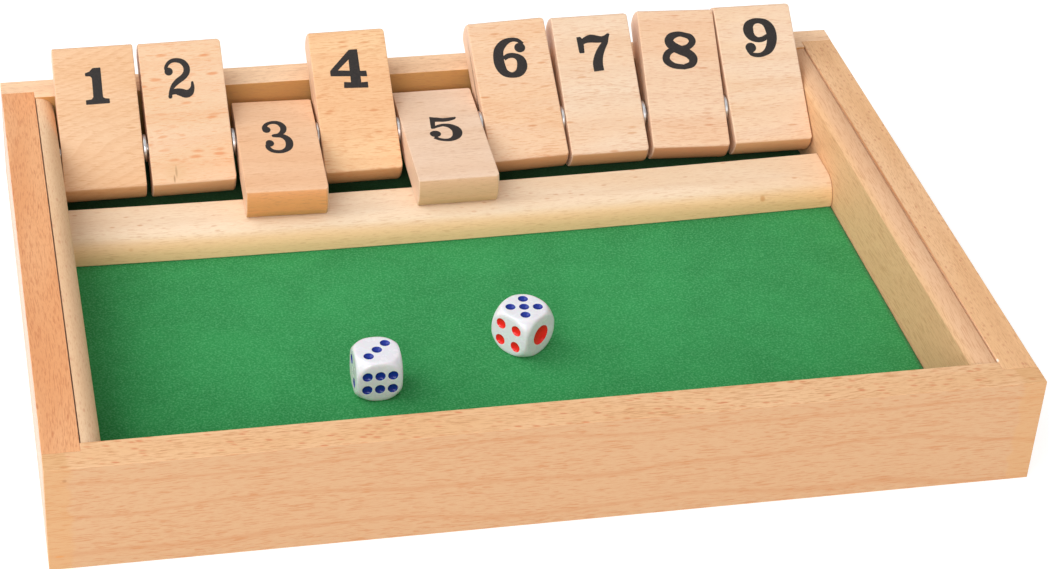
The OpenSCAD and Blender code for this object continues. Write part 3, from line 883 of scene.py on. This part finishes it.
def pipCutters(s, paints):
    # a ball for each hollow, in its paint, all in one mesh
    work = bmesh.new()
    for turn, radius, depth, places, paint in diePips(s):
        ball = (radius ** 2 + depth ** 2) / (2 * depth)
        face = Euler([math.radians(a) for a in turn]).to_matrix().to_4x4()
        for x, y in places:
            spot = Matrix.Translation(Vector((x, y, s["size"] / 2 - depth + ball)) * mm)
            made = bmesh.ops.create_uvsphere(work, u_segments=48, v_segments=24, radius=ball * mm, matrix=face @ spot)
            for skin in {f for v in made["verts"] for f in v.link_faces}:
                skin.material_index = paints.index(paint)
    return meshFrom(work, "pips")


def makePlastic(name, s):
    mat, tree, shader, where = newMaterial(name)
    tone = colour(*s["tone"])
    darker = tuple(c * 0.93 for c in tone)
    cloud = cloudNode(tree, (-700, 0), where, 260, 3.0, 0.55)
    dress(tree, shader, cloud, (darker, tone), (s["rough"], s["rough"] + 0.08), (0.2, 0.03))
    fill(shader, {"Subsurface Weight": s["milky"], "Subsurface Scale": 1.6 * mm, "Subsurface Radius": (1.0, 0.5, 0.7),
                  "Coat Weight": s["coat"], "Specular IOR Level": s["shine"]})
    return mat


def dieMesh(s, paints, materials):
    # the rounded cube with its hollows cut, lying as it was made: the one on top, the three at the back
    cutter = addObject("pips", pipCutters(s, paints))
    piece = addObject("die", roundedCube(s))
    for item in (cutter, piece):
        for mat in materials:
            item.data.materials.append(mat)
    cut = piece.modifiers.new("hollows", "BOOLEAN")
    cut.operation = "DIFFERENCE"
    cut.solver = "EXACT"
    cut.object = cutter
    bpy.context.view_layer.update()
    done = bpy.data.meshes.new_from_object(piece.evaluated_get(bpy.context.evaluated_depsgraph_get()))
    bpy.data.objects.remove(cutter)
    bpy.data.objects.remove(piece)
    done.polygons.foreach_set("use_smooth", [True] * len(done.polygons))
    done.set_sharp_from_angle(angle=math.radians(s["rimAngle"]))
    return done


def placeDie(body, mesh, s, stand):
    piece = addObject(body + "_body", mesh.copy())
    first, second = (Euler([math.radians(a) for a in turn]).to_matrix().to_4x4() for turn in stand["turns"])
    low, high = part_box(body)
    x, y = stand["place"]
    centre = Vector((x * mm, y * mm, (low.z + high.z) / 2))
    piece.data.transform(Matrix.Translation(centre) @ second @ first)
    soft = piece.modifiers.new("rims", "BEVEL")
    soft.width = s["rim"] * mm
    soft.segments = 2
    soft.limit_method = "ANGLE"
    soft.angle_limit = math.radians(s["rimAngle"])
    shading = piece.modifiers.new("shading", "WEIGHTED_NORMAL")
    shading.keep_sharp = False
    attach(piece, body)
    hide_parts(body)


# white plastic for the body and the paints in the hollows
dieColours = {
    "white": {"tone": (235, 234, 239), "rough": 0.22, "milky": 0.4, "coat": 0.3, "shine": 0.5},
    "red": {"tone": (240, 36, 30), "rough": 0.12, "milky": 0.0, "coat": 0.0, "shine": 0.42},
    "blue": {"tone": (20, 46, 146), "rough": 0.12, "milky": 0.0, "coat": 0.0, "shine": 0.36},
}
dieMaterials = [makePlastic("die_" + name, s) for name, s in dieColours.items()]
dieBlank = dieMesh(dieSet, list(dieColours), dieMaterials)
for body, stand in diePlaces.items():
    placeDie(body, dieBlank, dieSet, stand)
bpy.data.meshes.remove(dieBlank)
print("stage: dice")


# Rod and washers: bright drawn steel
def makeSteel(name, tone, rough, stretch):
    mat, tree, shader, where = newMaterial(name)
    place = fill(addNode(tree, "Mapping", (-900, 0)), {"Vector": where, "Scale": stretch})
    lines = cloudNode(tree, (-700, 0), place.outputs[0], 1.0, 5.0, 0.6)
    tone = colour(*tone)
    dress(tree, shader, lines, (tuple(c * 0.82 for c in tone), tone), (rough, rough + 0.15), (0.25, 0.01))
    fill(shader, {"Metallic": 1.0})
    return mat


easedCopy("pivot_rod", 0.25, makeSteel("rodSteel", (214, 215, 218), 0.22, (300, 5000, 5000)))
easedCopy("spacer_washers", 0.3, makeSteel("washerSteel", (236, 237, 240), 0.3, (900, 900, 900)))
print("stage: rod and washers")


# Floor and soft light
stageSet = {
    "half": 6.0, "floor": (188, 188, 188), "glow": 0.68,  # half of the floor's side in metres, its tone and own light
    "world": (1.0, 1.0, 1.0), "worldStrength": 0.35,
}
# place, point it looks at, width and length in metres, power in watts
lightSet = {
    "left": ((-1.28, 0.38, 1.28), (0, 0, 0), (1.95, 1.95), 25.2),
    "above": ((0.3, 0.0, 1.4), (0, 0, 0), (1.2, 1.2), 1.9),
    "fill": ((1.1, -1.7, 0.7), (0, 0, 0.02), (1.5, 0.9), 4.5),
    "front": ((-0.85, -1.7, 1.05), (0, 0, 0.02), (1.9, 0.9), 26.5),
}


def makeFloor(s):
    work = bmesh.new()
    ways = ((-1, -1), (1, -1), (1, 1), (-1, 1))
    work.faces.new([work.verts.new((x * s["half"], y * s["half"], 0)) for x, y in ways])
    mesh = meshFrom(work, "tableTop")
    floor = addObject("table_top", mesh)
    mat, tree, shader, where = newMaterial("whiteSweep")
    tone = colour(*s["floor"])
    cloud = cloudNode(tree, (-700, 0), where, 40, 2.0)
    tone = mixColour(tree, (-300, 150), cloud, tuple(c * 0.99 for c in tone), tone)
    fill(shader, {"Base Color": tone, "Roughness": 0.9, "Specular IOR Level": 0.1,
                  "Emission Color": (1, 1, 1), "Emission Strength": s["glow"]})
    mesh.materials.append(mat)


def makeLight(name, place, target, size, power):
    data = bpy.data.lights.new(name, "AREA")
    data.shape = "RECTANGLE"
    data.size, data.size_y = size
    data.energy = power
    lamp = addObject(name, data)
    lamp.location = place
    lamp.rotation_euler = (Vector(target) - Vector(place)).to_track_quat("-Z", "Y").to_euler()


makeFloor(stageSet)
for name, (place, target, size, power) in lightSet.items():
    makeLight(name, place, target, size, power)
world = bpy.data.worlds.new("studio")
world.use_nodes = True
scene.world = world
sky = world.node_tree.nodes["Background"]
fill(sky, {"Color": stageSet["world"], "Strength": stageSet["worldStrength"]})
scene.view_settings.view_transform = "Standard"
print("stage: floor and lights")
